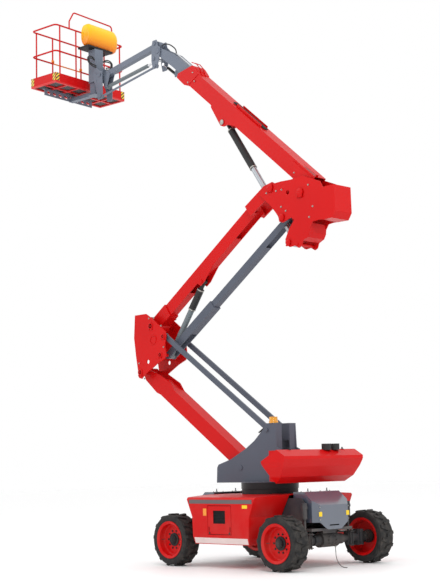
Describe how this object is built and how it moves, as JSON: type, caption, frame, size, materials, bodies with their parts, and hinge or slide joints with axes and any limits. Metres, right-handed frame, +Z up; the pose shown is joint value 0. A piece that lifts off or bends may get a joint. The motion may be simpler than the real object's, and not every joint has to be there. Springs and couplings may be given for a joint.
{
  "type": "articulating boom lift",
  "caption": "Self-propelled articulating boom lift with a double parallelogram riser, telescopic boom, jib and rotating work platform.",
  "frame": {"origin": "on the floor under the slewing axis, midway between the axles", "axes": "+X the way the booms point at rest, +Y the side with the access door, +Z up"},
  "size_m": [7.1321, 2.302, 10.3774],
  "materials": {
    "red_paint": "gloss red paint",
    "grey_paint": "satin grey paint",
    "dark_paint": "satin dark grey paint",
    "black_steel": "matt black",
    "bare_steel": "ground steel",
    "cylinder_paint": "satin grey paint",
    "cast_iron": "rough casting",
    "tyre": "tread rubber",
    "rubber": "matt rubber",
    "amber": "translucent amber",
    "yellow_cover": "yellow moulded cover"
  },
  "bodies": {
    "chassis": {"chassis_frame": "dark_paint", "chassis_body": "red_paint", "engine_block": "cast_iron", "end_hoods": "grey_paint", "slew_ring": "dark_paint", "steer_axle": "dark_paint", "drive_axle": "dark_paint", "steering_cylinder": "bare_steel", "strap_clip": "bare_steel", "ground_strap": "rubber"},
    "turntable": {"turntable_frame": "grey_paint", "counterweight": "red_paint", "buffer_caps": "rubber", "beacon": "amber"},
    "lower_arm": {"lower_arm": "red_paint"},
    "lower_link": {"lower_link_rods": "grey_paint"},
    "lower_knuckle": {"lower_knuckle": "red_paint"},
    "upper_arm": {"upper_arm": "red_paint"},
    "upper_link": {"upper_link": "grey_paint"},
    "upper_knuckle": {"upper_knuckle": "red_paint"},
    "riser_barrel": {"riser_cylinder_barrel": "cylinder_paint"},
    "riser_rod": {"riser_cylinder_rod": "black_steel"},
    "main_boom": {"main_boom": "red_paint"},
    "boom_barrel": {"boom_cylinder_barrel": "cylinder_paint"},
    "boom_rod": {"boom_cylinder_rod": "black_steel"},
    "inner_boom": {"inner_boom": "grey_paint"},
    "jib_head": {"jib_head": "grey_paint"},
    "level_barrel": {"level_cylinder_barrel": "black_steel"},
    "level_rod": {"level_cylinder_rod": "bare_steel"},
    "jib_tube": {"jib_tube": "grey_paint"},
    "jib_link": {"jib_link": "grey_paint"},
    "jib_barrel": {"jib_cylinder_barrel": "cylinder_paint"},
    "jib_rod": {"jib_cylinder_rod": "black_steel"},
    "platform_mast": {"platform_mast": "grey_paint"},
    "platform": {"platform_support": "grey_paint", "basket_frame": "red_paint", "basket_floor": "red_paint", "console_cover": "yellow_cover", "console_tray": "rubber"},
    "gate": {"gate_bar": "yellow_cover"},
    "knuckle_left": {"steer_knuckle_left": "dark_paint"},
    "knuckle_right": {"steer_knuckle_right": "dark_paint"},
    "steering_rod": {"steering_rod": "bare_steel"},
    "door": {"access_door": "red_paint"},
    "wheel_left_steer": {"tyre_left_steer": "tyre", "rim_left_steer": "red_paint", "hub_left_steer": "black_steel"},
    "wheel_right_steer": {"tyre_right_steer": "tyre", "rim_right_steer": "red_paint", "hub_right_steer": "black_steel"},
    "wheel_left_drive": {"tyre_left_drive": "tyre", "rim_left_drive": "red_paint", "hub_left_drive": "black_steel"},
    "wheel_right_drive": {"tyre_right_drive": "tyre", "rim_right_drive": "red_paint", "hub_right_drive": "black_steel"}
  },
  "joints": [
    {"name": "slew", "type": "hinge", "parent": "chassis", "child": "turntable", "pos_m": [0, 0, 1.2], "axis": [0, 0, 1], "continuous": true},
    {"name": "riser_lift", "type": "hinge", "parent": "turntable", "child": "lower_arm", "pos_m": [0.42, 0, 1.54], "axis": [0, 1, 0], "range_deg": [-28, 28.5]},
    {"name": "lower_link_turn", "type": "hinge", "parent": "turntable", "child": "lower_link", "pos_m": [-0.2005, 0, 2.1303], "axis": [0, 1, 0], "range_deg": [-29, 29.5]},
    {"name": "lower_knuckle_turn", "type": "hinge", "parent": "lower_arm", "child": "lower_knuckle", "pos_m": [2.87746, 0, 3.26073], "axis": [0, 1, 0], "range_deg": [-29.5, 29]},
    {"name": "upper_arm_turn", "type": "hinge", "parent": "lower_knuckle", "child": "upper_arm", "pos_m": [2.57996, 0, 4.06003], "axis": [0, 1, 0], "range_deg": [-29.5, 29]},
    {"name": "upper_link_turn", "type": "hinge", "parent": "lower_knuckle", "child": "upper_link", "pos_m": [2.33496, 0, 3.53003], "axis": [0, 1, 0], "range_deg": [-29.5, 29]},
    {"name": "upper_knuckle_turn", "type": "hinge", "parent": "upper_arm", "child": "upper_knuckle", "pos_m": [-0.388, 0, 6.06194], "axis": [0, 1, 0], "range_deg": [-29, 29.5]},
    {"name": "riser_barrel_turn", "type": "hinge", "parent": "lower_knuckle", "child": "riser_barrel", "pos_m": [2.33496, 0, 3.53003], "axis": [0, 1, 0], "range_deg": [-24.04, 23.64]},
    {"name": "riser_rod_slide", "type": "slide", "parent": "riser_barrel", "child": "riser_rod", "axis": [-0.5947, 0, 0.804], "range_m": [-0.2792, 0.2744]},
    {"name": "boom_lift", "type": "hinge", "parent": "upper_knuckle", "child": "main_boom", "pos_m": [-1.04, 0, 5.87], "axis": [0, -1, 0], "range_deg": [-39, 33]},
    {"name": "boom_barrel_turn", "type": "hinge", "parent": "upper_knuckle", "child": "boom_barrel", "pos_m": [-0.76, 0, 5.1], "axis": [0, -1, 0], "range_deg": [-33.54, 28.54]},
    {"name": "boom_rod_slide", "type": "slide", "parent": "boom_barrel", "child": "boom_rod", "axis": [0.5513, 0, 0.8343], "range_m": [-0.4947, 0.4194]},
    {"name": "boom_extend", "type": "slide", "parent": "main_boom", "child": "inner_boom", "axis": [0.7524, 0, 0.6587], "range_m": [0, 2.5]},
    {"name": "jib_head_level", "type": "hinge", "parent": "inner_boom", "child": "jib_head", "pos_m": [2.41946, 0, 9.10985], "axis": [0, -1, 0], "range_deg": [-34, 40]},
    {"name": "level_barrel_turn", "type": "hinge", "parent": "inner_boom", "child": "level_barrel", "pos_m": [2.08582, 0, 8.5998], "axis": [0, -1, 0], "range_deg": [-6.78, 5.89]},
    {"name": "level_rod_slide", "type": "slide", "parent": "level_barrel", "child": "level_rod", "axis": [0.7808, 0, 0.6248], "range_m": [-0.1177, 0.1382]},
    {"name": "jib_lift", "type": "hinge", "parent": "jib_head", "child": "jib_tube", "pos_m": [2.5, 0, 9.265], "axis": [0, -1, 0], "range_deg": [-60, 60]},
    {"name": "jib_link_turn", "type": "hinge", "parent": "jib_head", "child": "jib_link", "pos_m": [2.49, 0, 8.845], "axis": [0, -1, 0], "range_deg": [-61, 61]},
    {"name": "platform_level", "type": "hinge", "parent": "jib_tube", "child": "platform_mast", "pos_m": [4.10723, 0, 9.06196], "axis": [0, -1, 0], "range_deg": [-61, 61]},
    {"name": "jib_barrel_turn", "type": "hinge", "parent": "jib_tube", "child": "jib_barrel", "pos_m": [4.02, 0, 8.83], "axis": [0, -1, 0], "range_deg": [-2.51, 2.51]},
    {"name": "jib_rod_slide", "type": "slide", "parent": "jib_barrel", "child": "jib_rod", "axis": [-0.9947, 0, 0.1028], "range_m": [-0.2761, 0.2761]},
    {"name": "platform_rotate", "type": "hinge", "parent": "platform_mast", "child": "platform", "pos_m": [4.38, 0, 9.1], "axis": [0, 0, -1], "range_deg": [-83.6, 96.4]},
    {"name": "steer_left", "type": "hinge", "parent": "chassis", "child": "knuckle_left", "pos_m": [-1.1825, 0.8, 0.416], "axis": [0, 0, 1], "range_deg": [-32, 32]},
    {"name": "steer_right", "type": "hinge", "parent": "chassis", "child": "knuckle_right", "pos_m": [-1.1825, -0.8, 0.416], "axis": [0, 0, 1], "range_deg": [-33, 33]},
    {"name": "steering_rod_slide", "type": "slide", "parent": "chassis", "child": "steering_rod", "axis": [0, 1, 0], "range_m": [-0.09, 0.09]},
    {"name": "spin_left_steer", "type": "hinge", "parent": "knuckle_left", "child": "wheel_left_steer", "pos_m": [-1.1825, 0.99, 0.416], "axis": [0, 1, 0], "continuous": true},
    {"name": "spin_right_steer", "type": "hinge", "parent": "knuckle_right", "child": "wheel_right_steer", "pos_m": [-1.1825, -0.99, 0.416], "axis": [0, 1, 0], "continuous": true},
    {"name": "spin_left_drive", "type": "hinge", "parent": "chassis", "child": "wheel_left_drive", "pos_m": [1.1825, 0.99, 0.416], "axis": [0, 1, 0], "continuous": true},
    {"name": "spin_right_drive", "type": "hinge", "parent": "chassis", "child": "wheel_right_drive", "pos_m": [1.1825, -0.99, 0.416], "axis": [0, 1, 0], "continuous": true},
    {"name": "door_swing", "type": "hinge", "parent": "chassis", "child": "door", "pos_m": [0.015, 1.137, 0.96], "axis": [1, 0, 0], "range_deg": [0, 85]},
    {"name": "gate_slide", "type": "slide", "parent": "platform", "child": "gate", "axis": [0, 0, 1], "range_m": [0, 0.42]}
  ],
  "couplings": [
    {"joint": "lower_link_turn", "follows": "riser_lift", "ratio": 1},
    {"joint": "lower_knuckle_turn", "follows": "riser_lift", "ratio": -1},
    {"joint": "upper_arm_turn", "follows": "riser_lift", "ratio": -1},
    {"joint": "upper_link_turn", "follows": "riser_lift", "ratio": -1},
    {"joint": "upper_knuckle_turn", "follows": "riser_lift", "ratio": 1},
    {"joint": "riser_barrel_turn", "follows": "riser_lift", "ratio": -0.8084},
    {"joint": "riser_rod_slide", "follows": "riser_lift", "m_per_rad": -0.5512},
    {"joint": "boom_barrel_turn", "follows": "boom_lift", "ratio": 0.8344},
    {"joint": "boom_rod_slide", "follows": "boom_lift", "m_per_rad": 0.7195},
    {"joint": "jib_head_level", "follows": "boom_lift", "ratio": -1},
    {"joint": "level_barrel_turn", "follows": "boom_lift", "ratio": 0.1482},
    {"joint": "level_rod_slide", "follows": "boom_lift", "m_per_rad": -0.1957},
    {"joint": "jib_link_turn", "follows": "jib_lift", "ratio": 1},
    {"joint": "platform_level", "follows": "jib_lift", "ratio": -1},
    {"joint": "jib_barrel_turn", "follows": "jib_lift", "ratio": 0.0252},
    {"joint": "jib_rod_slide", "follows": "jib_lift", "m_per_rad": 0.2589},
    {"joint": "steer_right", "follows": "steer_left", "ratio": 1},
    {"joint": "steering_rod_slide", "follows": "steer_left", "m_per_rad": 0.144}
  ]
}
